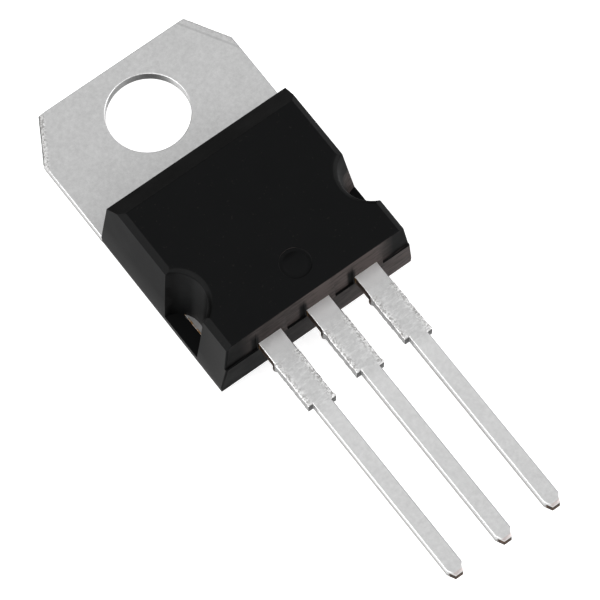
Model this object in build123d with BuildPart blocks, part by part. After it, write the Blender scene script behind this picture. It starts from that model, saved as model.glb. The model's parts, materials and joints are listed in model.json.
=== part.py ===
from build123d import *
from math import atan2, radians, tan
import os

# Three-lead voltage regulator in a single-gauge power package, lying on its back.
# Millimetres. The origin is the centre of the mounting hole on the back plane of the tab, +Y runs
# towards the top of the tab, the leads point to -Y and +Z comes out of the front face.

os.makedirs("parts", exist_ok=True)

# Copper strip: tab, die pad and all three leads are stamped from one gauge
gauge = 0.55

# Tab
tab_width = 10.18
tab_hole_diameter = 3.80
hole_to_tab_top = 2.80
hole_to_body = 3.605
corner_clip_across = 1.16
corner_clip_along = 2.02

# Moulded body, back half: from the back plane to the plane of the leads
body_width = 10.18
body_length = 8.81
body_thickness = 4.465
side_relief_angle = 3.0
side_draft_angle = 6.5
top_draft_angle = 4.9
end_draft_angle = 6.2

# Moulded body, front half
front_end_draft_angle = 0.5
parting_ledge = 0.10
side_bevel = 0.28
top_bevel_along = 1.04
top_bevel_height = 0.925
corner_radius = 0.08
edge_radius = 0.06
lead_pad_left = 0.05
lead_pad_right = 0.30

# Clamp notches in the long sides of the body
notch_to_body_end = 2.92
notch_outside = 0.16
notch_floor_radius = 1.19
notch_draft_angle = 4.6
notch_lip = 0.28

# Ejector mark on the front face
ejector_diameter = 1.45
ejector_depth = 0.04
ejector_to_body_end = 1.30

# Leads
lead_pitch = 2.54
lead_plane = 2.50
lead_root_width = 1.20
dam_width = 1.26
dam_start = 1.43
dam_length_left = 2.42
dam_length_right = 2.70
lead_width = 0.78
lead_length = 13.62
tip_chamfer_along = 0.38
tip_chamfer_across = 0.20

# Die pad and the joggle of the centre lead
pad_cover = 0.74
pad_to_body_end = 2.42
pad_lock_chamfer = 0.15
joggle_start = 0.50
joggle_run = 1.40
joggle_radius = 0.50

# Bond posts on the inner ends of the outer leads
post_width = 2.20
post_length = 1.50
post_to_body_end = 2.22
post_hole_diameter = 0.60

# Silicon die and its solder, centred on the pad below a strip kept free for the ground wire
die_width = 2.00
die_length = 2.30
die_thickness = 0.28
ground_strip = 1.01
solder_thickness = 0.05
solder_margin = 0.12

# Bond wires
power_wire_diameter = 0.30
signal_wire_diameter = 0.15
wire_foot_length = 0.45
wire_foot_sink = 0.15
wire_loop_height = 0.50
ground_wire_reach = 1.00
die_pad_inset = 0.40
sense_pad_spacing = 0.75
wire_to_post_top = 0.375

# Places along the body and its section
tab_top = hole_to_tab_top
body_top = -hole_to_body
body_end = body_top - body_length
parting_end = body_end - lead_plane * tan(radians(end_draft_angle))
ledge_y = parting_end + parting_ledge
front_end = ledge_y + (body_thickness - lead_plane) * tan(radians(front_end_draft_angle))
front_rise = body_thickness - side_bevel
side_parting = body_width / 2
side_back = side_parting - gauge * tan(radians(side_relief_angle))
side_front = side_parting - (front_rise - gauge) * tan(radians(side_draft_angle))
top_bevel_low = body_thickness - top_bevel_height
top_bevel_y = body_top - (top_bevel_low - gauge) * tan(radians(top_draft_angle))
notch_x = side_parting + notch_outside
notch_y = body_end + notch_to_body_end
notch_wall = body_thickness - notch_lip - gauge
notch_rim_radius = notch_floor_radius + notch_wall * tan(radians(notch_draft_angle))

# Places along the leads and the die pad
lead_front = lead_plane + gauge
lead_tip = body_end - lead_length
dam_top = body_end - dam_start
pad_width = body_width - 2 * pad_cover
pad_end = body_end + pad_to_body_end
joggle_bottom = pad_end - joggle_start
joggle_top = joggle_bottom - joggle_run
joggle_shift = gauge * tan(atan2(lead_plane, joggle_run) / 2)
post_top = body_end + post_to_body_end
post_bottom = post_top - post_length

# Places of the die
die_to_body_top = (body_length - pad_to_body_end + ground_strip) / 2
die_y = body_top - die_to_body_top
die_half_width = die_width / 2
die_half_length = die_length / 2
solder_top = gauge + solder_thickness
die_top = solder_top + die_thickness


def lead_side(inner_end, dam_length):
    """Right-hand side of a lead seen from the front, from its inner end to its chamfered tip."""
    return [
        (lead_root_width / 2, inner_end),
        (lead_root_width / 2, dam_top),
        (dam_width / 2, dam_top),
        (dam_width / 2, dam_top - dam_length),
        (lead_width / 2, dam_top - dam_length),
        (lead_width / 2, lead_tip + tip_chamfer_along),
        (lead_width / 2 - tip_chamfer_across, lead_tip),
    ]


def lead_outline(inner_end):
    """Closed outline of a lead, whose sides differ only in where the dam bar was cut away."""
    right = lead_side(inner_end, dam_length_right)
    left = [(-x, y) for x, y in reversed(lead_side(inner_end, dam_length_left))]
    return right + left + right[:1]


# Centre lead, joggled from the die pad up to the plane of the outer leads
with BuildPart() as centre_lead:
    with BuildSketch(Plane.YZ):
        with BuildLine():
            under = FilletPolyline(
                (pad_end + gauge, 0),
                (joggle_bottom, 0),
                (joggle_top, lead_plane),
                (lead_tip, lead_plane),
                radius=[joggle_radius + gauge, joggle_radius],
            )
            over = FilletPolyline(
                (pad_end + gauge, gauge),
                (joggle_bottom + joggle_shift, gauge),
                (joggle_top + joggle_shift, lead_front),
                (lead_tip, lead_front),
                radius=[joggle_radius, joggle_radius + gauge],
            )
            Line(under @ 0, over @ 0)
            Line(under @ 1, over @ 1)
        make_face()
    extrude(amount=dam_width, both=True)
    with BuildSketch():
        with BuildLine():
            Polyline(*lead_outline(pad_end + gauge))
        make_face()
    extrude(amount=body_thickness, mode=Mode.INTERSECT)

# Tab, die pad and centre lead are one stamping
with BuildPart() as tab_frame:
    with BuildSketch():
        with BuildLine():
            Polyline(
                (0, tab_top),
                (tab_width / 2 - corner_clip_across, tab_top),
                (tab_width / 2, tab_top - corner_clip_along),
                (tab_width / 2, body_top),
                (pad_width / 2, body_top),
                (pad_width / 2, pad_end),
                (0, pad_end),
                (0, tab_top),
            )
        make_face()
        mirror(about=Plane.YZ)
        Circle(tab_hole_diameter / 2, mode=Mode.SUBTRACT)
    extrude(amount=gauge)
    pad_back_edges = (
        edges()
        .filter_by(lambda edge: edge.center().Z < gauge / 4)
        .filter_by(lambda edge: edge.center().Y < body_top - gauge)
    )
    chamfer(pad_back_edges, length=pad_lock_chamfer)
    add(centre_lead.part)
tab_frame.part.label = "tab_frame"

# Outer leads, each with a wide bond post on its inner end
outer_leads = {}
for name, side in (("input_lead", -1), ("output_lead", 1)):
    with BuildPart() as outer_lead:
        with BuildSketch(Plane((side * lead_pitch, 0, lead_plane))):
            with BuildLine():
                Polyline(*lead_outline(post_bottom))
            make_face()
            with Locations((0, (post_top + post_bottom) / 2)):
                Rectangle(post_width, post_length)
                Circle(post_hole_diameter / 2, mode=Mode.SUBTRACT)
        extrude(amount=gauge)
    outer_lead.part.label = name
    outer_leads[name] = outer_lead.part

# Solder under the die, with a sloping fillet all round
with BuildPart() as die_solder:
    with BuildSketch(Plane((0, die_y, gauge))):
        Rectangle(die_width + 2 * solder_margin, die_length + 2 * solder_margin)
    with BuildSketch(Plane((0, die_y, solder_top))):
        Rectangle(die_width, die_length)
    loft()
die_solder.part.label = "die_solder"

# Silicon regulator die
with BuildPart() as silicon_die:
    with BuildSketch(Plane((0, die_y, solder_top))):
        Rectangle(die_width, die_length)
    extrude(amount=die_thickness)
silicon_die.part.label = "silicon_die"


def bond_wire(name, start, end, diameter):
    """Wire from the top of the die to another surface, with a flattened foot at each end."""
    run = Vector(end[0] - start[0], end[1] - start[1], 0)
    reach = run.length
    drop = end[2] - start[2]
    foot = diameter / 2 - wire_foot_sink * diameter
    crest = max(drop, 0) + foot + wire_loop_height
    side_plane = Plane(origin=start, x_dir=run, z_dir=run.cross(Vector(0, 0, 1)))
    with BuildPart() as wire:
        with BuildLine(side_plane) as loop:
            FilletPolyline(
                (0, foot),
                (wire_foot_length, foot),
                (wire_foot_length + diameter, crest),
                (reach - wire_foot_length - diameter, crest),
                (reach - wire_foot_length, drop + foot),
                (reach, drop + foot),
                radius=diameter,
            )
        with BuildSketch(Plane(origin=loop.line @ 0, z_dir=loop.line % 0)):
            Circle(diameter / 2)
        sweep(path=loop.line)
        add(tab_frame.part, mode=Mode.SUBTRACT)
        add(silicon_die.part, mode=Mode.SUBTRACT)
        for lead in outer_leads.values():
            add(lead, mode=Mode.SUBTRACT)
    wire.part.label = name
    return wire.part


# Bond wires: input, output, output sense and the ground wire down to the die pad
post_y = post_top - wire_to_post_top
die_corner_x = die_half_width - die_pad_inset
die_corner_y = die_y - die_half_length + die_pad_inset
bond_wires = {
    "input_wire": bond_wire(
        "input_wire",
        (-die_corner_x, die_corner_y, die_top),
        (-lead_pitch, post_y, lead_front),
        power_wire_diameter,
    ),
    "output_wire": bond_wire(
        "output_wire",
        (die_corner_x, die_corner_y, die_top),
        (lead_pitch, post_y, lead_front),
        power_wire_diameter,
    ),
    "sense_wire": bond_wire(
        "sense_wire",
        (die_corner_x - sense_pad_spacing, die_corner_y, die_top),
        (lead_pitch - sense_pad_spacing, post_y, lead_front),
        signal_wire_diameter,
    ),
    "ground_wire": bond_wire(
        "ground_wire",
        (0, die_y + die_half_length - die_pad_inset, die_top),
        (0, die_y + die_half_length + solder_margin + ground_wire_reach, gauge),
        signal_wire_diameter,
    ),
}

# Moulded body: a drafted block with the cavities of everything moulded into it
with BuildPart() as moulded_body:
    with BuildSketch(Plane.XZ):
        with BuildLine():
            Polyline(
                (0, 0),
                (side_back, 0),
                (side_parting, gauge),
                (side_front, front_rise),
                (side_front - side_bevel, body_thickness),
                (0, body_thickness),
                (0, 0),
            )
        make_face()
        mirror(about=Plane.YZ)
    extrude(amount=gauge - parting_end)
    with BuildSketch(Plane.YZ):
        with BuildLine():
            Polyline(
                (body_top, 0),
                (body_top, gauge),
                (top_bevel_y, top_bevel_low),
                (top_bevel_y - top_bevel_along, body_thickness),
                (front_end, body_thickness),
                (ledge_y, lead_plane),
                (parting_end, lead_plane),
                (body_end, 0),
                (body_top, 0),
            )
        make_face()
    extrude(amount=body_width, both=True, mode=Mode.INTERSECT)
    end_corners = (
        edges()
        .filter_by(lambda edge: abs(edge.tangent_at(0.5).Z) > 0.9)
        .filter_by(lambda edge: edge.center().Y < ledge_y + parting_ledge)
    )
    fillet(end_corners, radius=corner_radius)
    fillet(faces().sort_by(Axis.Z)[-1].edges(), radius=edge_radius)
    # Clamp notches, open to the sides and floored level with the front of the die pad
    for side in (-1, 1):
        with BuildSketch(Plane(origin=(side * notch_x, notch_y, 0), x_dir=(1, 0, 0), z_dir=(0, -1, 0))):
            with BuildLine():
                floor = Line((0, gauge), (notch_floor_radius, gauge))
                wall = Line(floor @ 1, (notch_rim_radius, body_thickness - notch_lip))
                lip = TangentArc(wall @ 1, (notch_rim_radius + notch_lip, body_thickness), tangent=wall % 1)
                Polyline(lip @ 1, (0, body_thickness), floor @ 0)
            make_face()
        notch_axis = Axis((side * notch_x, notch_y, 0), (0, 0, 1))
        revolve(axis=notch_axis, mode=Mode.SUBTRACT)
    # Shallow ejector mark
    with BuildSketch(Plane((0, body_end + ejector_to_body_end, body_thickness))):
        Circle(ejector_diameter / 2)
    extrude(amount=-ejector_depth, mode=Mode.SUBTRACT)
    # Pads that carry the end face out over each lead
    for lead_x in (-lead_pitch, 0, lead_pitch):
        with BuildSketch(Plane.YZ.offset(lead_x - lead_root_width / 2 - lead_pad_left)):
            with BuildLine():
                Polyline(
                    (ledge_y + gauge, lead_plane),
                    (parting_end, lead_plane),
                    (front_end, front_rise),
                    (ledge_y + gauge, front_rise),
                    (ledge_y + gauge, lead_plane),
                )
            make_face()
        extrude(amount=lead_pad_left + lead_root_width + lead_pad_right)
    # Cavities for everything that is moulded in
    embedded = [tab_frame.part, die_solder.part, silicon_die.part]
    for piece in embedded + list(outer_leads.values()) + list(bond_wires.values()):
        add(piece, mode=Mode.SUBTRACT)
moulded_body.part.label = "moulded_body"

pieces = [moulded_body.part, tab_frame.part, die_solder.part, silicon_die.part]
for piece in pieces + list(outer_leads.values()) + list(bond_wires.values()):
    export_step(piece, f"parts/{piece.label}.step")
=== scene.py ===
"""Looks of the three-lead voltage regulator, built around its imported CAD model. Metres throughout."""

import json
import math

import bmesh
import bpy
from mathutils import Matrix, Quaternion, Vector, noise
from mathutils.bvhtree import BVHTree


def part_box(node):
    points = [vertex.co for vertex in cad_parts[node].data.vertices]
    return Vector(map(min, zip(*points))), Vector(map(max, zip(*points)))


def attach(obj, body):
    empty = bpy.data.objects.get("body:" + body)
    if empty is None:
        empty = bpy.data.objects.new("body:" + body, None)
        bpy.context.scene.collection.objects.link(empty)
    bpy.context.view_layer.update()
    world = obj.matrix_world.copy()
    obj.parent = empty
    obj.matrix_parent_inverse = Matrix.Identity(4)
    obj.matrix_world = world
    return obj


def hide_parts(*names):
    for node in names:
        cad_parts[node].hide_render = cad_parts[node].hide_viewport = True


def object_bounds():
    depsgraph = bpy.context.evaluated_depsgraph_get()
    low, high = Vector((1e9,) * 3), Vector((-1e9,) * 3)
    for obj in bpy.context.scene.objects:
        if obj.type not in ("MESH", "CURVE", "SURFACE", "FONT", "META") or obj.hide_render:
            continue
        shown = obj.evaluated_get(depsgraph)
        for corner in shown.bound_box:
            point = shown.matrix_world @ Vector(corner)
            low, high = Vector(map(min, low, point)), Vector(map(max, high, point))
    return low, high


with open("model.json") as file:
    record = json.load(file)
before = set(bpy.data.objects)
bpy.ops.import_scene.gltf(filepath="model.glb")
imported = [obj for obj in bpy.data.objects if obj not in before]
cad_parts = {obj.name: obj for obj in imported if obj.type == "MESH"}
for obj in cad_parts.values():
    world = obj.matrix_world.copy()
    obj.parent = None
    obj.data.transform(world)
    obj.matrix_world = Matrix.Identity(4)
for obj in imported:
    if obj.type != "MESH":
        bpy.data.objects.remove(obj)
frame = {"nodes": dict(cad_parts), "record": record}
CAD_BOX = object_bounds()

MM = 0.001
NEAR = 0.01 * MM  # points closer than this lie on the same line or face
MERGE = 0.0005 * MM  # points closer than this are one point
X_AXIS = Vector((1, 0, 0))
Y_AXIS = Vector((0, 1, 0))
Z_AXIS = Vector((0, 0, 1))


def grey(value, warmth=0.0):
    """A linear grey, a little redder with some warmth, or bluer where that is below zero."""
    return (value * (1 + warmth), value, value * (1 - warmth), 1.0)


# Places read from the frame
MOUNTS = {mount["name"]: mount for mount in frame["record"]["mounts"]}
BODY_LOW, BODY_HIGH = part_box("moulded_body")
FRAME_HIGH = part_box("tab_frame")[1]
LEAD_LOW, LEAD_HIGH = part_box("input_lead")
GAUGE = LEAD_HIGH.z - LEAD_LOW.z
PITCH = -MOUNTS["input_pin"]["pos_m"][0]
HOLE_RADIUS = MOUNTS["tab_hole"]["dims"]["r_mm"] * MM
LEAD_CENTRES = {"input_lead": -PITCH, "tab_frame": 0.0, "output_lead": PITCH}


def node_points(node):
    """Points of a CAD node's mesh, in the shared frame."""
    return [vertex.co.copy() for vertex in frame["nodes"][node].data.vertices]


def lead_outline():
    """Half width, start and both ends of a lead's stamped dam section, read from the left lead."""
    outside = [p + Vector((PITCH, 0, 0)) for p in node_points("input_lead") if p.y < BODY_LOW.y]
    half = max(p.x for p in outside)
    right = [p.y for p in outside if p.x > half - NEAR]
    left = [p.y for p in outside if p.x < -half + NEAR]
    return half, max(right), min(left), min(right)


DAM_HALF, DAM_TOP, DAM_END_LEFT, DAM_END_RIGHT = lead_outline()
PAD_HALF = max(p.x for p in node_points("tab_frame") if BODY_LOW.y < p.y < BODY_HIGH.y - GAUGE)
CLIP_LOW = max(p.y for p in node_points("tab_frame") if p.x > FRAME_HIGH.x - NEAR)
CLIP_INNER = max(p.x for p in node_points("tab_frame") if p.y > FRAME_HIGH.y - NEAR)
CLIP_RUN = Vector((FRAME_HIGH.x - CLIP_INNER, CLIP_LOW - FRAME_HIGH.y)).normalized()

# Least turn of an edge, in degrees, that is rounded or shaded as sharp
FRONT_TURN = 30
BURR_TURN = 50
BODY_TURN = 25
SHARP_TURN = 35

# Cut edges of the stampings: rounding and tearing
ROLLOVER = 0.05 * MM
BURR_EDGE = 0.015 * MM
CUT_STEP = 0.09 * MM
CUT_ROUGHNESS = 0.030 * MM
CUT_GRAIN = 0.13 * MM

# Dam section, with the nib that its bar leaves
DAM_BAND = 0.26 * MM
NIB_REACH = 0.10 * MM
NIB_HALF_LENGTH = 0.17 * MM

# Clipped corners of the tab: the left one (-1) is crushed deeper than the right one (1)
CLIP_CUTS = 26
CLIP_ROWS = (0.09 * MM, 0.18 * MM, 0.30 * MM)
CLIP_BAND = 0.34 * MM
CLIP_SINK = {-1: 0.05 * MM, 1: 0.015 * MM}

# Coined tips of the leads
TIP_BAND = 0.14 * MM
TIP_SINK = 0.06 * MM

# Moulded body
BODY_EDGE = 0.05 * MM
RING_WIDTH = 0.10 * MM
RING_SLOPE = 0.06 * MM
RING_DEPTH = 0.022 * MM
RING_RISE = 1.6 * RING_DEPTH

# Moulding compound
COMPOUND = (grey(0.0092, -0.05), grey(0.0122, -0.03))
FILLER_SPECK = grey(0.020, 0.06)
# Lighter compound for rubbed patches, painted sheen and a painted bevel highlight on the sides
RUBBED_AND_SHEEN_COMPOUND = grey(0.080, 0.01)
SHADED_COMPOUND = grey(0.0015)
# Brownish painted glow of light reflected from the leads onto the end face
END_FACE_GLOW_COLOUR = (0.104, 0.088, 0.084, 1.0)
COMPOUND_SHINE = 0.12

# Tinned strip
MATT_TIN = (grey(0.55), grey(0.61))
BRIGHT_TIN = (grey(0.62), grey(0.68))
MOTTLED_TIN = grey(0.92)
SCRAPED_TIN = grey(0.98)
# Painted light on the lead necks and roots near the body
NECK_TIN_PAINTED_LIGHT = grey(0.72)
ROOT_TIN_PAINTED_LIGHT = grey(0.86)
# Painted highlight and painted shade on the rolled edges, by the way they face
EDGE_HIGHLIGHT = grey(0.76)
HOLE_CROWN_HIGHLIGHT = grey(1.0)
EDGE_SHADE = grey(0.38)
CRUSHED_TIN = (grey(0.30, 0.03), grey(0.95))
CLIP_LINE = grey(0.14)
COINED_TIN = (0.56, 0.51, 0.50, 1.0)

# Sheared walls of the strip, and its bare copper
SHEARED_WALL = grey(0.60)
TORN_WALL = grey(0.36, 0.01)
DAM_WALL = grey(0.30)
STREAKED_WALL = grey(0.50)
# Painted shade on the dam's shoulders and on two parts of the hole's wall
SHOULDER_SHADE = grey(0.15)
HOLE_LEFT_SHADE = grey(0.30)
HOLE_TOP_SHADE = grey(0.09)
TARNISHED_COPPER = ((0.030, 0.018, 0.012, 1.0), (0.16, 0.085, 0.045, 1.0))
FRESH_COPPER = (0.42, 0.25, 0.11, 1.0)

# Ways from the hole's centre to the two parts of its wall that get painted shade, which the camera sees as
# top left and top
HOLE_LEFT = Vector((-0.19, 0.98))
HOLE_TOP = Vector((0.60, 0.80))

# Studio
SKY = grey(0.92)
HORIZON = grey(0.12)
HORIZON_HEIGHT = 0.26
HORIZON_TILT = -0.18
FLOOR = (grey(0.60), grey(0.62))
FLOOR_GLOW = 0.6
FLOOR_GAP = 0.001 * MM
LIGHT_DISTANCE = 0.5
LIGHT_SIZE = 0.35
DISPLAY_GAMMA = 0.75

# Camera
VIEW_AZIMUTH = -31.99
VIEW_ELEVATION = 66.94
VIEW_ROLL = -4.73
VIEW_DISTANCE = 0.22965
VIEW_LENS = 318.9
AIM_OFFSET = Vector((0.15, 0.62, 0)) * MM


# ---------------------------------------------------------------- mesh helpers

def grain(point, size, seed):
    """Repeatable noise, from about -1 to 1, whose blobs are about size across."""
    return noise.noise(point / size + Vector((seed, 2.3 * seed, 5.1 * seed)))


def clean_copy(node):
    """A bmesh of a CAD node with its split vertices joined and its flat triangles merged."""
    mesh = bmesh.new()
    mesh.from_mesh(frame["nodes"][node].data)
    bmesh.ops.remove_doubles(mesh, verts=mesh.verts, dist=MERGE)
    bmesh.ops.dissolve_limit(
        mesh, angle_limit=math.radians(0.4), verts=mesh.verts, edges=mesh.edges, delimit={"NORMAL"}
    )
    mesh.normal_update()
    return mesh


def sharp_edges(mesh, least_degrees, keep=lambda edge: True):
    """Edges whose two faces turn by at least that much, and which pass the test given."""
    least = math.radians(least_degrees)
    return [
        edge
        for edge in mesh.edges
        if len(edge.link_faces) == 2 and edge.calc_face_angle(0) > least and keep(edge)
    ]


def round_edges(mesh, edges, width, segments=3, clamp=True):
    """Bevels the edges; a clamped bevel shrinks where two edges would run into each other."""
    bmesh.ops.bevel(
        mesh,
        geom=edges,
        offset=width,
        offset_type="OFFSET",
        segments=segments,
        profile=0.5,
        affect="EDGES",
        clamp_overlap=clamp,
    )


def cut_mesh(mesh, point, normal, geometry=None):
    """Divides the mesh, or only the geometry given, along a plane."""
    if geometry is None:
        geometry = mesh.verts[:] + mesh.edges[:] + mesh.faces[:]
    bmesh.ops.bisect_plane(
        mesh,
        geom=geometry,
        plane_co=point,
        plane_no=normal,
        dist=MERGE,
    )


def slice_mesh(mesh, normal, low, high, step):
    """Divides the mesh along parallel planes, so that there are points to move between them."""
    count = round((high - low) / step)
    for i in range(count + 1):
        cut_mesh(mesh, normal * (low + step * i), normal)


def finish_piece(mesh, name, material, node):
    """Turns the bmesh into a piece that stands for its CAD node and rides on the root body."""
    data = bpy.data.meshes.new(name)
    mesh.to_mesh(data)
    mesh.free()
    data.materials.append(material)
    piece = bpy.data.objects.new(name, data)
    bpy.context.scene.collection.objects.link(piece)
    data.shade_smooth()
    data.set_sharp_from_angle(angle=math.radians(SHARP_TURN))
    weigh = piece.modifiers.new("flat_faces_stay_flat", "WEIGHTED_NORMAL")
    weigh.keep_sharp = True
    weigh.weight = 100
    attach(piece, "root")
    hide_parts(node)
    return piece


# ---------------------------------------------------------------- material helpers

class Nodes:
    """Short calls for building one material's node tree in object coordinates, in metres."""

    def __init__(self, name):
        self.material = bpy.data.materials.new(name)
        self.material.use_nodes = True
        self.tree = self.material.node_tree
        self.shader = self.tree.nodes["Principled BSDF"]
        self.spot = self.add("ShaderNodeTexCoord")
        self.place = self.spot.outputs["Object"]

    def add(self, kind, **settings):
        node = self.tree.nodes.new(kind)
        for key, value in settings.items():
            setattr(node, key, value)
        return node

    def link(self, source, target):
        self.tree.links.new(source, target)

    def feed(self, socket, value):
        if hasattr(value, "is_output"):
            self.link(value, socket)
        else:
            socket.default_value = value

    def axes(self, vector):
        split = self.add("ShaderNodeSeparateXYZ")
        self.link(vector, split.inputs[0])
        return split.outputs["X"], split.outputs["Y"], split.outputs["Z"]

    def stretched(self, scale):
        mapping = self.add("ShaderNodeMapping")
        self.link(self.place, mapping.inputs["Vector"])
        mapping.inputs["Scale"].default_value = scale
        return mapping.outputs["Vector"]

    def noise(self, size, detail=3.0, roughness=0.5, stretch=None, distortion=0.0):
        """Noise whose blobs are about size metres across."""
        texture = self.add("ShaderNodeTexNoise")
        self.link(self.stretched(stretch) if stretch else self.place, texture.inputs["Vector"])
        texture.inputs["Scale"].default_value = 1 / size
        texture.inputs["Detail"].default_value = detail
        texture.inputs["Roughness"].default_value = roughness
        texture.inputs["Distortion"].default_value = distortion
        return texture.outputs["Fac"]

    def ramp(self, value, low, high, out_low=0.0, out_high=1.0):
        node = self.add("ShaderNodeMapRange")
        node.clamp = True
        self.feed(node.inputs["Value"], value)
        node.inputs["From Min"].default_value = low
        node.inputs["From Max"].default_value = high
        node.inputs["To Min"].default_value = out_low
        node.inputs["To Max"].default_value = out_high
        return node.outputs["Result"]

    def band(self, value, low, high, soft):
        """1 between low and high, falling to 0 over the soft width outside them."""
        rise = self.ramp(value, low - soft, low)
        fall = self.ramp(value, high, high + soft, 1.0, 0.0)
        return self.times(rise, fall)

    def math(self, operation, first, second=0.0):
        node = self.add("ShaderNodeMath", operation=operation)
        self.feed(node.inputs[0], first)
        self.feed(node.inputs[1], second)
        return node.outputs[0]

    def times(self, first, *others):
        for other in others:
            first = self.math("MULTIPLY", first, other)
        return first

    def less(self, value, mask, part=1.0):
        """The value with that part of it taken away where the mask is 1."""
        return self.times(value, self.ramp(mask, 0.0, 1.0, 1.0, 1.0 - part))

    def larger(self, first, *others):
        for other in others:
            first = self.math("MAXIMUM", first, other)
        return first

    def mix(self, factor, first, second):
        node = self.add("ShaderNodeMix", data_type="RGBA")
        self.feed(node.inputs["Factor"], factor)
        self.feed(node.inputs["A"], first)
        self.feed(node.inputs["B"], second)
        return node.outputs["Result"]

    def blend(self, factor, first, second):
        node = self.add("ShaderNodeMix", data_type="FLOAT")
        self.feed(node.inputs["Factor"], factor)
        self.feed(node.inputs["A"], first)
        self.feed(node.inputs["B"], second)
        return node.outputs["Result"]

    def bump(self, height, strength, distance, under=None):
        node = self.add("ShaderNodeBump")
        self.feed(node.inputs["Strength"], strength)
        node.inputs["Distance"].default_value = distance
        self.link(height, node.inputs["Height"])
        if under is not None:
            self.link(under, node.inputs["Normal"])
        return node.outputs["Normal"]

    def set(self, **values):
        for key, value in values.items():
            self.feed(self.shader.inputs[key.replace("_", " ")], value)


# ---------------------------------------------------------------- materials

def shade_strips_beside_leads(n, x, z):
    """Mask for painted shade: a soft strip on the end face, just left of each lead, from the leads' plane
    upwards, which the painted glow leaves out.
    """
    strips = [
        n.band(x, centre - DAM_HALF - 0.22 * MM, centre - DAM_HALF + 0.02 * MM, 0.12 * MM)
        for centre in LEAD_CENTRES.values()
    ]
    return n.times(n.larger(*strips), n.band(z, LEAD_LOW.z, LEAD_HIGH.z + 0.5 * MM, 0.5 * MM))


def painted_end_face_glow(n, x, z, end_face):
    """Painted light on the end face: a glow of light reflected from the leads over them in its front half,
    and more light towards the right in its back half.
    """
    front_half = n.ramp(z, LEAD_LOW.z - 0.05 * MM, LEAD_LOW.z + 0.05 * MM)
    over_leads = n.band(x, -PITCH - DAM_HALF, PITCH + DAM_HALF, 0.9 * MM)
    over_leads = n.times(over_leads, n.ramp(x, -PITCH, PITCH, 0.65, 1.35))
    over_middle = n.band(x, -0.3 * MM, 0.3 * MM, 0.5 * MM)
    over_leads = n.times(over_leads, n.ramp(over_middle, 0.0, 1.0, 1.0, 1.5))
    to_the_right = n.ramp(x, BODY_LOW.x, BODY_HIGH.x, -0.30, 1.05)
    # The painted glow leaves out the painted shade just left of each lead
    outside_shade_strips = n.ramp(shade_strips_beside_leads(n, x, z), 0.0, 1.0, 1.0, 0.0)
    streak = n.noise(0.35 * MM, 4, 0.6, stretch=(0.35, 1.0, 1.6))
    patches = n.ramp(streak, 0.32, 0.66, 0.40, 1.0)
    return n.times(end_face, n.blend(front_half, to_the_right, over_leads), outside_shade_strips, patches)


def rubbed_sides_and_sheen(n, y, z, sideways, facing_z, cloud):
    """Rubbed patches on the sides with a painted sheen, most of all near the seating plane and the leads,
    and a painted highlight on their bevels.
    """
    rub_and_sheen = n.larger(
        n.ramp(z, 0.1 * MM, 2.0 * MM, 0.56, 0.15),
        n.ramp(y, BODY_LOW.y, BODY_LOW.y + 2.5 * MM, 0.46, 0.15),
    )
    rubbed_and_sheen = n.times(n.ramp(sideways, 0.90, 0.97), rub_and_sheen, n.ramp(cloud, 0.3, 0.7, 0.6, 1.3))
    bevel_highlight = n.times(n.band(sideways, 0.35, 0.85, 0.1), n.ramp(facing_z, 0.4, 0.5), 0.14)
    return n.larger(rubbed_and_sheen, bevel_highlight)


def moulding_compound():
    """Black filled epoxy, with a brownish painted glow of light reflected from the leads on the end face
    where they come out.
    """
    n = Nodes("black_moulding_compound")
    x, y, z = n.axes(n.place)
    facing_x, facing_y, facing_z = n.axes(n.spot.outputs["Normal"])
    sideways = n.math("ABSOLUTE", facing_x)
    cloud = n.noise(1.3 * MM, 4, 0.6)
    fine = n.noise(0.05 * MM, 3, 0.6)
    speck = n.ramp(n.noise(0.11 * MM, 1, 0.4), 0.71, 0.78)
    compound = n.mix(cloud, *COMPOUND)
    compound = n.mix(speck, compound, FILLER_SPECK)
    # Rubbed patches and painted sheen on the sides, and a painted highlight on their bevels
    compound = n.mix(rubbed_sides_and_sheen(n, y, z, sideways, facing_z, cloud), compound, RUBBED_AND_SHEEN_COMPOUND)

    # The end face, most of all its left, and the slope at the top see little light
    end_face = n.ramp(facing_y, -0.9, -0.7, 1.0, 0.0)
    shaded_end = n.times(end_face, n.ramp(x, BODY_LOW.x, 0.0, 1.0, 0.4))
    compound = n.mix(n.larger(shaded_end, n.ramp(facing_y, 0.15, 0.35)), compound, SHADED_COMPOUND)
    # The base colour carries the painted glow of reflected light on the end face
    n.set(
        Base_Color=n.mix(painted_end_face_glow(n, x, z, end_face), compound, END_FACE_GLOW_COLOUR),
        Roughness=n.ramp(cloud, 0.3, 0.7, 0.54, 0.64),
    )
    n.shader.inputs["Specular IOR Level"].default_value = COMPOUND_SHINE
    n.link(n.bump(fine, 0.35, 0.004 * MM), n.shader.inputs["Normal"])
    return n.material


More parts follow.
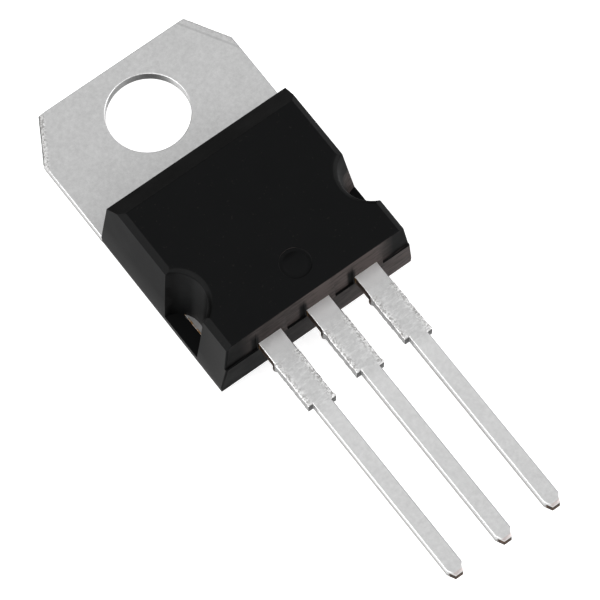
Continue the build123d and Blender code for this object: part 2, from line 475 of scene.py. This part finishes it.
class Strip(Nodes):
    """Nodes of the tinned strip, with the places, directions and textures that its parts share."""

    def __init__(self):
        super().__init__("tinned_copper_strip")
        self.x, self.y, self.z = self.axes(self.place)
        self.facing_x, self.facing_y, self.facing_z = self.axes(self.spot.outputs["Normal"])
        self.across_x = self.math("ABSOLUTE", self.x)
        self.cloud = self.noise(1.1 * MM, 5, 0.6)
        self.fine = self.noise(0.07 * MM, 4, 0.7)
        self.rolled = self.noise(0.09 * MM, 3, 0.6, stretch=(1.0, 0.10, 1.0))
        self.streak = self.noise(0.14 * MM, 4, 0.65, stretch=(0.30, 1.0, 1.0), distortion=0.5)
        self.scuff = self.noise(0.11 * MM, 5, 0.7, distortion=0.8)
        self.mottle = self.noise(0.20 * MM, 5, 0.8)
        self.at_dam = self.band(self.y, DAM_END_RIGHT, DAM_TOP, 0.10 * MM)
        self.above_centre = self.ramp(self.y, 0.0, 0.1 * MM)
        squares = self.math("ADD", self.times(self.x, self.x), self.times(self.y, self.y))
        from_hole = self.math("SQRT", squares)
        self.at_hole = self.ramp(from_hole, HOLE_RADIUS + 0.10 * MM, HOLE_RADIUS + 0.15 * MM, 1.0, 0.0)
        self.inside_clips = self.distance_inside_clips()
        self.in_body = self.band(self.y, BODY_LOW.y, BODY_HIGH.y - GAUGE, 0.1 * MM)
        self.wall = self.ramp(self.math("ABSOLUTE", self.facing_z), 0.25, 0.45, 1.0, 0.0)

    def distance_inside_clips(self):
        """How far a point of the tab lies inside the sheared line of its nearer clipped corner."""
        over = self.math("SUBTRACT", self.across_x, CLIP_INNER)
        up = self.math("SUBTRACT", self.y, FRAME_HIGH.y)
        return self.math("SUBTRACT", self.times(over, CLIP_RUN.y), self.times(up, CLIP_RUN.x))

    def hole_shade_towards(self, place, low, high, most):
        """Mask for painted shade, up to most, on the part of the hole's wall that lies that way from its
        centre.
        """
        back = self.math("SUBTRACT", self.times(self.facing_x, -place.x), self.times(self.facing_y, place.y))
        return self.times(self.ramp(back, low, high, 0.0, most), self.above_centre)


def front_tin(n):
    """Matt tin on the tab, brighter on the dipped leads, mottled, scraped across the dam section, and with
    painted light on the lead necks and roots near the body.
    """
    dipped = n.ramp(n.y, DAM_END_RIGHT - 0.4 * MM, DAM_END_RIGHT + 0.2 * MM, 1.0, 0.0)
    towards_tip = n.ramp(n.y, LEAD_LOW.y, DAM_END_RIGHT, 0.45, 1.0)
    scraped = n.times(n.at_dam, n.ramp(n.streak, 0.50, 0.64, 0.0, 0.22))
    # Painted light on the necks and roots near the body, where the body blocks the leads' reflection
    lit_neck = n.band(n.y, DAM_TOP + 0.8 * MM, BODY_LOW.y + GAUGE, 0.9 * MM)
    root = n.band(n.y, BODY_LOW.y - 0.1 * MM, BODY_LOW.y + 1.0 * MM, 0.7 * MM)
    tin = n.mix(n.times(dipped, towards_tip), n.mix(n.cloud, *MATT_TIN), n.mix(n.cloud, *BRIGHT_TIN))
    tin = n.mix(n.ramp(n.mottle, 0.34, 0.66, 0.0, 0.26), tin, MOTTLED_TIN)
    tin = n.mix(scraped, tin, SCRAPED_TIN)
    tin = n.mix(lit_neck, tin, NECK_TIN_PAINTED_LIGHT)
    return n.mix(root, tin, ROOT_TIN_PAINTED_LIGHT)


def painted_edge_light(n):
    """Masks for painted light on the rolled-over cut edges: a painted highlight on those that face left,
    down on the tab and round the hole, and painted shade on those that face right, up, or down on the leads.
    """
    side_on = n.band(n.facing_y, -0.20, 0.20, 0.15)
    leftwards = n.times(n.ramp(n.facing_x, -0.40, -0.20, 1.0, 0.0), side_on)
    rightwards = n.times(n.ramp(n.facing_x, 0.20, 0.40), side_on)
    down = n.ramp(n.facing_y, -0.40, -0.25, 1.0, 0.0)
    upwards = n.times(n.ramp(n.facing_y, 0.25, 0.45), n.ramp(n.facing_x, 0.15, 0.35, 1.0, 0.0))
    down_on_tab = n.times(down, n.ramp(n.y, BODY_LOW.y, BODY_HIGH.y))
    down_on_lead = n.times(
        down,
        n.ramp(n.y, DAM_END_LEFT - 0.5 * MM, DAM_END_LEFT),
        n.ramp(n.y, BODY_LOW.y, BODY_HIGH.y, 1.0, 0.0),
    )
    round_hole = n.times(n.at_hole, n.ramp(n.facing_y, 0.05, 0.30, 1.0, 0.0))
    edge_highlight = n.larger(n.less(leftwards, n.at_hole), down_on_tab, round_hole)
    edge_highlight = n.times(edge_highlight, n.band(n.facing_z, 0.40, 0.78, 0.08))
    edge_shade = n.larger(n.less(rightwards, n.at_hole), upwards, down_on_lead)
    edge_shade = n.times(edge_shade, n.band(n.facing_z, 0.30, 0.96, 0.03))
    return n.less(edge_highlight, n.at_dam, 0.9), edge_shade


def crushed_bands(n):
    """Mask for the crushed metal inside the dam section's edges and inside the clipped corners."""
    from_next = n.math("ABSOLUTE", n.math("SUBTRACT", n.across_x, PITCH))
    from_centre = n.math("MINIMUM", n.across_x, from_next)
    dam_edge = n.times(n.at_dam, n.ramp(from_centre, DAM_HALF - 0.34 * MM, DAM_HALF - 0.04 * MM))
    clip = n.times(n.ramp(n.inside_clips, CLIP_BAND * 0.5, CLIP_BAND, 1.0, 0.0), n.above_centre)
    return n.larger(n.times(dam_edge, 0.85), n.times(clip, n.ramp(n.x, -PITCH, PITCH, 0.60, 0.10)))


def clip_lines(n):
    """Mask for a dark line along the left clipped corner, and a faint one inside the right corner."""
    outer = n.ramp(n.inside_clips, 0.03 * MM, 0.07 * MM, 0.8, 0.0)
    outer = n.times(outer, n.ramp(n.x, -PITCH, 0.0, 1.0, 0.0))
    inner = n.band(n.inside_clips, CLIP_BAND - 0.03 * MM, CLIP_BAND + 0.03 * MM, 0.04 * MM)
    inner = n.times(inner, n.ramp(n.x, 0.0, PITCH, 0.0, 0.16))
    return n.times(n.larger(outer, inner), n.above_centre)


def sheared_walls(n):
    """Cut walls: burnished towards the front, torn and dull towards the back, with painted shade on the
    dam's shoulders and on two parts of the hole's wall.
    """
    torn = n.larger(
        n.less(n.ramp(n.z, 0.30 * GAUGE, 0.50 * GAUGE, 1.0, 0.0), n.at_hole, 0.6),
        n.band(n.z, LEAD_LOW.z - 0.1 * MM, LEAD_LOW.z + 0.42 * GAUGE, 0.14 * GAUGE),
    )
    # Painted shade in the corner where each dam section steps down to the lead
    shoulder_shade = n.times(
        n.ramp(n.facing_y, -0.9, -0.7, 1.0, 0.0),
        n.band(n.y, DAM_END_RIGHT - 0.2 * MM, DAM_TOP, 0.1 * MM),
    )
    sheared = n.mix(torn, SHEARED_WALL, TORN_WALL)
    sheared = n.mix(n.times(n.at_dam, 0.7), sheared, DAM_WALL)
    sheared = n.mix(n.ramp(n.streak, 0.35, 0.65, 0.0, 0.25), sheared, STREAKED_WALL)
    sheared = n.mix(shoulder_shade, sheared, SHOULDER_SHADE)
    # Painted shade on the top left and top of the hole's wall
    sheared = n.mix(n.hole_shade_towards(HOLE_LEFT, 0.80, 0.95, 0.75), sheared, HOLE_LEFT_SHADE)
    return n.mix(n.hole_shade_towards(HOLE_TOP, 0.80, 1.0, 0.9), sheared, HOLE_TOP_SHADE)


def bare_places(n):
    """Mask for the copper that shows at the lead roots, the tips and the edges of the die pad."""
    root_walls = n.times(n.wall, n.band(n.y, DAM_TOP, BODY_LOW.y + GAUGE, 0.1 * MM))
    tip_faces = n.times(
        n.ramp(n.y, LEAD_LOW.y + 0.45 * MM, LEAD_LOW.y + 0.50 * MM, 1.0, 0.0),
        n.ramp(n.facing_y, -0.30, -0.14, 1.0, 0.0),
        n.ramp(n.z, LEAD_HIGH.z - 0.20 * MM, LEAD_HIGH.z - 0.12 * MM, 1.0, 0.0),
    )
    pad_edge = n.times(
        n.in_body,
        n.ramp(n.across_x, PAD_HALF - 0.09 * MM, PAD_HALF - 0.04 * MM),
        n.ramp(n.streak, 0.42, 0.58),
    )
    return n.times(n.larger(root_walls, tip_faces, pad_edge), n.ramp(n.scuff, 0.25, 0.45, 0.7, 1.0))


def tinned_copper():
    """Matt tin over rolled copper, brighter where the leads were dipped, bare where it was cut."""
    n = Strip()
    edge_highlight, edge_shade = painted_edge_light(n)
    crown = n.ramp(n.across_x, 0.65 * HOLE_RADIUS, 0.9 * HOLE_RADIUS, 1.0, 0.0)
    crushed = crushed_bands(n)
    coined = n.ramp(n.y, LEAD_LOW.y + TIP_BAND * 0.7, LEAD_LOW.y + TIP_BAND, 0.8, 0.0)
    # Painted highlight on edges facing left, down on the tab and round the hole, brightest at its crown;
    # painted shade on edges facing right or up
    tin = n.mix(edge_highlight, front_tin(n), EDGE_HIGHLIGHT)
    tin = n.mix(n.times(edge_highlight, n.at_hole, crown), tin, HOLE_CROWN_HIGHLIGHT)
    tin = n.mix(edge_shade, tin, EDGE_SHADE)
    tin = n.mix(crushed, tin, n.mix(n.ramp(n.scuff, 0.40, 0.58), *CRUSHED_TIN))
    tin = n.mix(clip_lines(n), tin, CLIP_LINE)
    tin = n.mix(coined, tin, COINED_TIN)
    tin = n.mix(n.wall, tin, sheared_walls(n))
    tarnished = n.mix(n.ramp(n.streak, 0.45, 0.70), *TARNISHED_COPPER)
    copper = n.mix(n.in_body, tarnished, FRESH_COPPER)
    polished = n.larger(n.less(edge_highlight, n.at_hole), edge_shade)
    skin_roughness = n.blend(polished, n.ramp(n.fine, 0.3, 0.7, 0.44, 0.60), 0.25)
    n.set(
        Base_Color=n.mix(bare_places(n), tin, copper),
        Roughness=n.blend(crushed, skin_roughness, n.ramp(n.scuff, 0.3, 0.7, 0.25, 0.65)),
    )
    n.shader.inputs["Metallic"].default_value = 1.0
    skin = n.bump(n.fine, 0.40, 0.006 * MM)
    skin = n.bump(n.rolled, 0.22, 0.006 * MM, skin)
    n.link(n.bump(n.scuff, n.times(crushed, 0.8), 0.016 * MM, skin), n.shader.inputs["Normal"])
    return n.material


def soft_solder():
    n = Nodes("soft_solder")
    cloud = n.noise(0.3 * MM, 4, 0.6)
    n.set(
        Base_Color=n.mix(cloud, grey(0.36), grey(0.50, 0.01)),
        Roughness=n.ramp(cloud, 0.3, 0.7, 0.35, 0.60),
    )
    n.shader.inputs["Metallic"].default_value = 1.0
    n.link(n.bump(cloud, 0.4, 0.01 * MM), n.shader.inputs["Normal"])
    return n.material


def silicon():
    n = Nodes("silicon_die")
    blocks = n.add("ShaderNodeTexVoronoi", distance="CHEBYCHEV")
    n.link(n.place, blocks.inputs["Vector"])
    blocks.inputs["Scale"].default_value = 1 / (0.22 * MM)
    n.set(
        Base_Color=n.mix(blocks.outputs["Distance"], grey(0.10, -0.15), grey(0.26, 0.05)),
        Roughness=n.ramp(n.noise(0.05 * MM), 0.3, 0.7, 0.12, 0.25),
    )
    n.shader.inputs["Metallic"].default_value = 0.5
    return n.material


def bond_aluminium():
    n = Nodes("bond_wire_aluminium")
    drawn = n.noise(0.03 * MM, 3, 0.6)
    n.set(
        Base_Color=n.mix(drawn, grey(0.72), grey(0.84)),
        Roughness=n.ramp(drawn, 0.3, 0.7, 0.22, 0.38),
    )
    n.shader.inputs["Metallic"].default_value = 1.0
    n.link(n.bump(drawn, 0.2, 0.002 * MM), n.shader.inputs["Normal"])
    return n.material


# ---------------------------------------------------------------- stampings

def true_hole(mesh):
    """Gives the tab's hole four times its edges, on a true circle."""
    def on_wall(vert):
        return abs(vert.co.xy.length - HOLE_RADIUS) < 0.02 * MM

    rim = [
        edge
        for edge in mesh.edges
        if on_wall(edge.verts[0]) and on_wall(edge.verts[1])
        and abs(edge.verts[0].co.z - edge.verts[1].co.z) < NEAR
    ]
    bmesh.ops.subdivide_edges(mesh, edges=rim, cuts=3, use_grid_fill=True)
    for vert in mesh.verts:
        if on_wall(vert):
            vert.co.xy *= HOLE_RADIUS / vert.co.xy.length


def clip_distance(point):
    """How far a point of the tab lies inside the line of its nearer clipped corner."""
    return CLIP_RUN.y * (abs(point.x) - CLIP_INNER) - CLIP_RUN.x * (point.y - FRAME_HIGH.y)


def divide_clips(mesh):
    """Lays a grid over the band inside both clipped corners, so that its shear can be uneven."""
    for side in (-1, 1):
        inward = Vector((side * CLIP_RUN.y, -CLIP_RUN.x, 0))
        for row in CLIP_ROWS:
            cut_mesh(mesh, Vector((side * CLIP_INNER, FRAME_HIGH.y, 0)) + inward * row, inward)
    lines = [
        edge
        for edge in mesh.edges
        if all(clip_distance(vert.co) < CLIP_ROWS[-1] + NEAR for vert in edge.verts)
        and abs(clip_distance(edge.verts[0].co) - clip_distance(edge.verts[1].co)) < NEAR
        and abs(edge.verts[0].co.z - edge.verts[1].co.z) < NEAR
        and edge.calc_length() > GAUGE
    ]
    bmesh.ops.subdivide_edges(mesh, edges=lines, cuts=CLIP_CUTS, use_grid_fill=True)


def crush_clips(mesh):
    """Rolls the front over along the clipped corners, with torn metal on the sheared line."""
    for vert in mesh.verts:
        inside = clip_distance(vert.co)
        if inside > CLIP_BAND or vert.co.y < CLIP_LOW - CLIP_BAND:
            continue
        depth = (1 - max(inside, 0) / CLIP_BAND) ** 2
        torn = grain(vert.co, CUT_GRAIN, 3.7)
        sink = CLIP_SINK[-1 if vert.co.x < 0 else 1]
        if vert.co.z > GAUGE / 2:
            vert.co.z -= depth * sink * (1.3 + 0.7 * torn)
        if inside < ROLLOVER * 1.2:
            push = abs(torn) * CUT_ROUGHNESS
            vert.co.x -= math.copysign(push, vert.co.x)
            vert.co.y -= push * 0.5


def coin_tip(mesh):
    """Rolls the front over at the tip of a lead, where it was cut from the strip."""
    for vert in mesh.verts:
        from_tip = (vert.co.y - LEAD_LOW.y) / TIP_BAND
        if from_tip < 0.95 and vert.co.z > LEAD_LOW.z + GAUGE / 2:
            vert.co.z -= TIP_SINK * (1 - from_tip) ** 1.3


def divide_dam(mesh, centre):
    """Cuts a band inside both edges of the dam section, so that its middle stays flat."""
    for side in (-1, 1):
        section = [face for face in mesh.faces if DAM_END_RIGHT < face.calc_center_median().y < DAM_TOP]
        edges = {edge for face in section for edge in face.edges}
        verts = {vert for face in section for vert in face.verts}
        line = X_AXIS * (centre + side * (DAM_HALF - DAM_BAND))
        cut_mesh(mesh, line, X_AXIS, list(verts) + list(edges) + section)


def roughen_dam(mesh, centre, seed):
    """Uneven sheared edges on the dam section, with the nib where the dam bar was cut away."""
    for vert in mesh.verts:
        x = vert.co.x - centre
        side = math.copysign(1.0, x)
        end = DAM_END_RIGHT if side > 0 else DAM_END_LEFT
        low, high = end - NEAR, DAM_TOP + 2 * NIB_HALF_LENGTH
        if abs(x) < DAM_HALF - 3 * ROLLOVER or not low < vert.co.y < high:
            continue
        if vert.co.y < DAM_TOP + NEAR:
            vert.co.x += side * (grain(vert.co, CUT_GRAIN, seed) - 0.25) * CUT_ROUGHNESS
            vert.co.z += grain(vert.co, CUT_GRAIN, seed + 11) * CUT_ROUGHNESS * 0.5
        from_nib = (vert.co.y - DAM_TOP) / NIB_HALF_LENGTH
        if side < 0 and abs(from_nib) < 1:
            lower = (LEAD_HIGH.z - vert.co.z) / GAUGE
            vert.co.x -= NIB_REACH * (1 - from_nib ** 2) * lower
        above_end = (vert.co.y - end) / NIB_HALF_LENGTH
        if side > 0 and above_end < 1.2:
            vert.co.x += NIB_REACH * 0.35 * math.sin(math.pi * above_end / 1.2)


def is_front_edge(edge):
    """True on the front of a lead outside the body, and on the front of the tab."""
    on_lead = all(abs(vert.co.z - LEAD_HIGH.z) < NEAR for vert in edge.verts)
    on_tab = all(abs(vert.co.z - GAUGE) < NEAR for vert in edge.verts)
    if on_lead:
        return any(vert.co.y < BODY_LOW.y for vert in edge.verts)
    return on_tab and any(vert.co.y > BODY_HIGH.y for vert in edge.verts)


def stay_in_box(mesh, node):
    """Moves any point that a bevel or a cut has pushed out of the CAD node's box back onto it."""
    low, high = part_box(node)
    for vert in mesh.verts:
        for axis in range(3):
            vert.co[axis] = min(max(vert.co[axis], low[axis]), high[axis])


def make_stamping(node, material, seed):
    """A lead or the tab frame with rolled-over, sheared and torn edges, in place of its CAD node."""
    mesh = clean_copy(node)
    if node == "tab_frame":
        true_hole(mesh)
    round_edges(mesh, sharp_edges(mesh, FRONT_TURN, is_front_edge), ROLLOVER, clamp=False)
    round_edges(mesh, sharp_edges(mesh, BURR_TURN), BURR_EDGE, 2, clamp=False)
    slice_mesh(mesh, Y_AXIS, DAM_END_RIGHT + CUT_STEP, DAM_TOP + 2 * NIB_HALF_LENGTH, CUT_STEP)
    cut_mesh(mesh, Y_AXIS * (LEAD_LOW.y + TIP_BAND), Y_AXIS)
    if node == "tab_frame":
        divide_clips(mesh)
        crush_clips(mesh)
    coin_tip(mesh)
    divide_dam(mesh, LEAD_CENTRES[node])
    roughen_dam(mesh, LEAD_CENTRES[node], seed)
    stay_in_box(mesh, node)
    return finish_piece(mesh, node + "_stamping", material, node)


# ---------------------------------------------------------------- moulded body

def outer_faces(mesh):
    """Faces of the body that see out past its sides or its front, and so aren't cavity walls."""
    tree = BVHTree.FromBMesh(mesh)
    ways = (Z_AXIS, X_AXIS, -X_AXIS)
    found = set()
    for face in mesh.faces:
        start = face.calc_center_median() + face.normal * 0.01 * MM
        if any(tree.ray_cast(start, way)[0] is None for way in ways):
            found.add(face)
    return found


def ring_mark(mesh):
    """Raises the middle of the ejector mark, which leaves a ring round it."""
    floors = [
        face
        for face in mesh.faces
        if face.normal.z > 0.99
        and BODY_HIGH.z - 0.1 * MM < face.calc_center_median().z < BODY_HIGH.z - NEAR
    ]
    bmesh.ops.inset_region(mesh, faces=floors, thickness=RING_SLOPE, depth=-RING_DEPTH)
    bmesh.ops.inset_region(mesh, faces=floors, thickness=RING_WIDTH, depth=0)
    bmesh.ops.inset_region(mesh, faces=floors, thickness=RING_SLOPE, depth=RING_RISE)


def make_body(material):
    """The moulded body with softened outer edges and a ring in its ejector mark."""
    mesh = clean_copy("moulded_body")
    outside = outer_faces(mesh)
    edges = sharp_edges(mesh, BODY_TURN, lambda edge: all(face in outside for face in edge.link_faces))
    ring_mark(mesh)
    round_edges(mesh, [edge for edge in edges if edge.is_valid], BODY_EDGE, 2)
    return finish_piece(mesh, "moulded_body_shell", material, "moulded_body")


# ---------------------------------------------------------------- stage

def make_floor():
    """A pale floor that glows a little, so that it stays almost white under the part."""
    bpy.ops.mesh.primitive_plane_add(size=4.0, location=(0, 0, BODY_LOW.z - FLOOR_GAP))
    floor = bpy.context.active_object
    floor.name = "floor"
    n = Nodes("pale_floor")
    n.set(Base_Color=n.mix(n.noise(30 * MM), *FLOOR), Roughness=0.9)
    n.shader.inputs["Specular IOR Level"].default_value = 0.0
    n.shader.inputs["Emission Color"].default_value = grey(1.0)
    n.shader.inputs["Emission Strength"].default_value = FLOOR_GLOW
    floor.data.materials.append(n.material)


def direction(azimuth, elevation):
    """The way from the object towards a viewer, in degrees round from the front and up."""
    around, up = math.radians(azimuth), math.radians(elevation)
    return Vector((math.sin(around) * math.cos(up), -math.cos(around) * math.cos(up), math.sin(up)))


def make_light(name, azimuth, elevation, power):
    """A square soft light that looks at the middle of the object."""
    light = bpy.data.lights.new(name, "AREA")
    light.shape = "SQUARE"
    light.size = LIGHT_SIZE
    light.energy = power
    lamp = bpy.data.objects.new(name, light)
    bpy.context.scene.collection.objects.link(lamp)
    back = direction(azimuth, elevation)
    lamp.location = (CAD_BOX[0] + CAD_BOX[1]) / 2 + back * LIGHT_DISTANCE
    lamp.rotation_mode = "QUATERNION"
    lamp.rotation_quaternion = back.to_track_quat("Z", "Y")


def make_world():
    """White dome over a dim horizon, which is dimmest behind the top of the tab."""
    world = bpy.data.worlds.new("studio")
    bpy.context.scene.world = world
    world.use_nodes = True
    tree = world.node_tree
    place = tree.nodes.new("ShaderNodeTexCoord")
    split = tree.nodes.new("ShaderNodeSeparateXYZ")
    edge = tree.nodes.new("ShaderNodeMath")
    edge.operation = "MULTIPLY_ADD"
    rise = tree.nodes.new("ShaderNodeMapRange")
    rise.clamp = True
    mix = tree.nodes.new("ShaderNodeMix")
    mix.data_type = "RGBA"
    tree.links.new(place.outputs["Generated"], split.inputs[0])
    tree.links.new(split.outputs["Y"], edge.inputs[0])
    edge.inputs[1].default_value = HORIZON_TILT
    tree.links.new(split.outputs["Z"], edge.inputs[2])
    tree.links.new(edge.outputs[0], rise.inputs["Value"])
    rise.inputs["From Min"].default_value = 0.0
    rise.inputs["From Max"].default_value = HORIZON_HEIGHT
    tree.links.new(rise.outputs["Result"], mix.inputs["Factor"])
    mix.inputs["A"].default_value = HORIZON
    mix.inputs["B"].default_value = SKY
    tree.links.new(mix.outputs["Result"], tree.nodes["Background"].inputs["Color"])


def make_camera():
    """A long lens from the photo's side and height, aimed near the middle of the part."""
    back = direction(VIEW_AZIMUTH, VIEW_ELEVATION)
    aim = (CAD_BOX[0] + CAD_BOX[1]) / 2 + AIM_OFFSET
    aim.z = BODY_LOW.z
    data = bpy.data.cameras.new("camera")
    data.lens = VIEW_LENS
    data.sensor_width = 36.0
    data.clip_start = 0.01
    data.clip_end = 10.0
    camera = bpy.data.objects.new("camera", data)
    bpy.context.scene.collection.objects.link(camera)
    camera.location = aim + back * VIEW_DISTANCE
    camera.rotation_mode = "QUATERNION"
    roll = Quaternion(Z_AXIS, math.radians(VIEW_ROLL))
    camera.rotation_quaternion = back.to_track_quat("Z", "Y") @ roll
    bpy.context.scene.camera = camera


# ---------------------------------------------------------------- the scene

tin = tinned_copper()
make_stamping("tab_frame", tin, seed=1.0)
make_stamping("input_lead", tin, seed=2.0)
make_stamping("output_lead", tin, seed=3.0)
make_body(moulding_compound())

wire = bond_aluminium()
INNER = {
    "die_solder": soft_solder(),
    "silicon_die": silicon(),
    "input_wire": wire,
    "output_wire": wire,
    "sense_wire": wire,
    "ground_wire": wire,
}
for node, material in INNER.items():
    frame["nodes"][node].material_slots[0].material = material

make_floor()
make_world()
make_light("key", azimuth=-95, elevation=35, power=1.5)
make_light("fill", azimuth=60, elevation=25, power=1.4)
make_camera()
bpy.context.scene.view_settings.view_transform = "Standard"
bpy.context.scene.view_settings.gamma = DISPLAY_GAMMA
